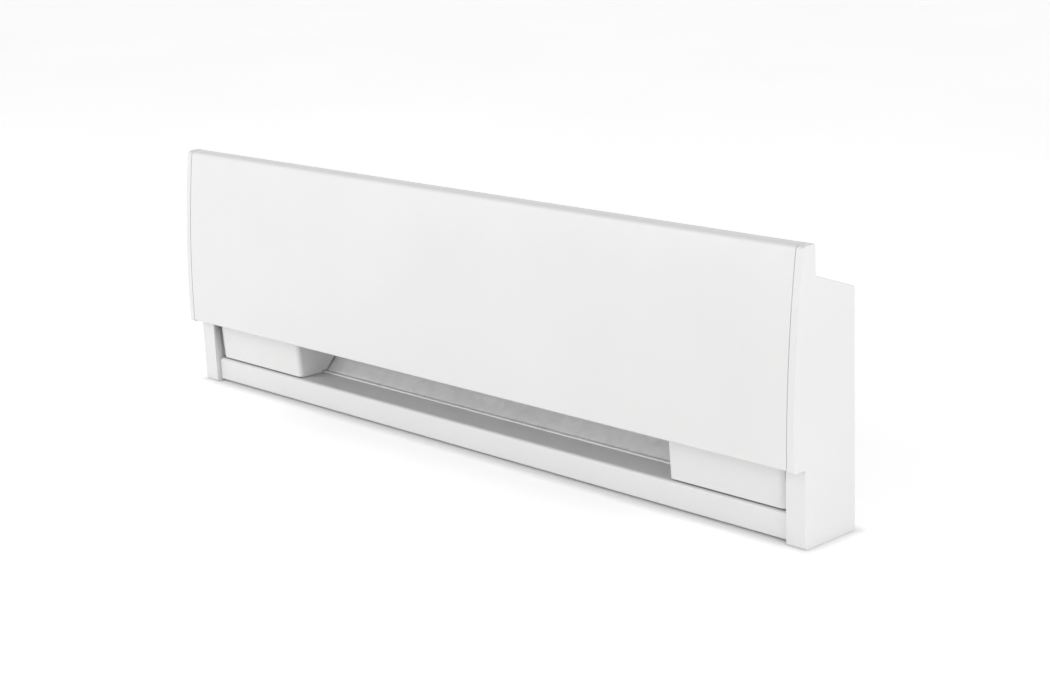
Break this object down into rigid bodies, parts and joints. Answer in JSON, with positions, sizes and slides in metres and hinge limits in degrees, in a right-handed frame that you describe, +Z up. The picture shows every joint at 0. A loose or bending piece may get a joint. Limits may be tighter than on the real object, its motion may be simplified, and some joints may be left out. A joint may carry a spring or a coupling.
{
  "type": "baseboard heater",
  "caption": "Electric baseboard heater: curved front panel between end caps, air intake below it, wiring covers at both ends and a finned element inside.",
  "frame": {"origin": "middle of the base of the bounding box", "axes": "+X along the length, to the right seen from the front; +Y towards the wall; +Z up"},
  "size_m": [0.69, 0.0652, 0.208],
  "materials": {
    "white_paint": "satin white powder coat",
    "galvanised_steel": "zinc-coated sheet with a faint spangle",
    "sheath_steel": "heat-darkened tubular sheath",
    "fin_aluminium": "mill-finish fin stock",
    "zinc_plate": "bright zinc plating",
    "brass": "bare spade terminals",
    "copper": "bare copper",
    "ceramic": "unglazed insulator",
    "black_plastic": "moulded, fine grain",
    "grey_plastic": "heat-resistant nylon",
    "orange_plastic": "moulded connector shell",
    "red_insulation": "high-temperature wire jacket",
    "black_insulation": "high-temperature wire jacket",
    "green_steel": "green earth screw",
    "rubber": "moulded grommet"
  },
  "bodies": {
    "casing": {"back_shell": "white_paint", "bottom_rail": "white_paint", "heat_reflector": "galvanised_steel", "panel_hook_1": "galvanised_steel", "panel_hook_2": "galvanised_steel", "panel_hook_3": "galvanised_steel", "left_end_cap": "white_paint", "left_cap_screw": "zinc_plate", "left_compartment_box": "galvanised_steel", "left_box_screw": "zinc_plate", "left_panel_clip": "zinc_plate", "left_cable_clamp": "zinc_plate", "left_clamp_screw": "zinc_plate", "left_earth_screw": "green_steel", "left_grommet": "rubber", "left_element_bush": "grey_plastic", "right_end_cap": "white_paint", "right_cap_screw": "zinc_plate", "right_compartment_box": "galvanised_steel", "right_box_screw": "zinc_plate", "right_panel_clip": "zinc_plate", "right_cable_clamp": "zinc_plate", "right_clamp_screw": "zinc_plate", "right_earth_screw": "green_steel", "right_grommet": "rubber", "right_element_bush": "grey_plastic", "centre_element_support": "galvanised_steel", "limit_control": "black_plastic", "limit_tab_1": "brass", "limit_tab_2": "brass", "capillary_tube": "copper", "capillary_clip_1": "zinc_plate", "capillary_clip_2": "zinc_plate", "capillary_clip_3": "zinc_plate", "return_lead": "black_insulation", "limit_lead": "red_insulation", "line_lead": "red_insulation", "return_connector": "orange_plastic", "line_connector": "orange_plastic"},
    "panel": {"front_panel": "white_paint"},
    "left_cover": {"left_wiring_cover": "white_paint"},
    "right_cover": {"right_wiring_cover": "white_paint"},
    "element": {"left_cold_pin": "zinc_plate", "left_pin_insulator": "ceramic", "left_terminal_lug": "copper", "right_cold_pin": "zinc_plate", "right_pin_insulator": "ceramic", "right_terminal_lug": "copper", "element_tube": "sheath_steel", "fin_pack": "fin_aluminium"}
  },
  "joints": [
    {"name": "panel_swing", "type": "hinge", "parent": "casing", "child": "panel", "pos_m": [0, -0.0144, 0.204], "axis": [-1, 0, 0], "range_deg": [0, 30]},
    {"name": "left_cover_pull", "type": "slide", "parent": "casing", "child": "left_cover", "axis": [0, -1, 0], "range_m": [0, 0.065]},
    {"name": "right_cover_pull", "type": "slide", "parent": "casing", "child": "right_cover", "axis": [0, -1, 0], "range_m": [0, 0.065]},
    {"name": "element_float", "type": "slide", "parent": "casing", "child": "element", "axis": [1, 0, 0], "range_m": [-0.0015, 0.0015]}
  ]
}
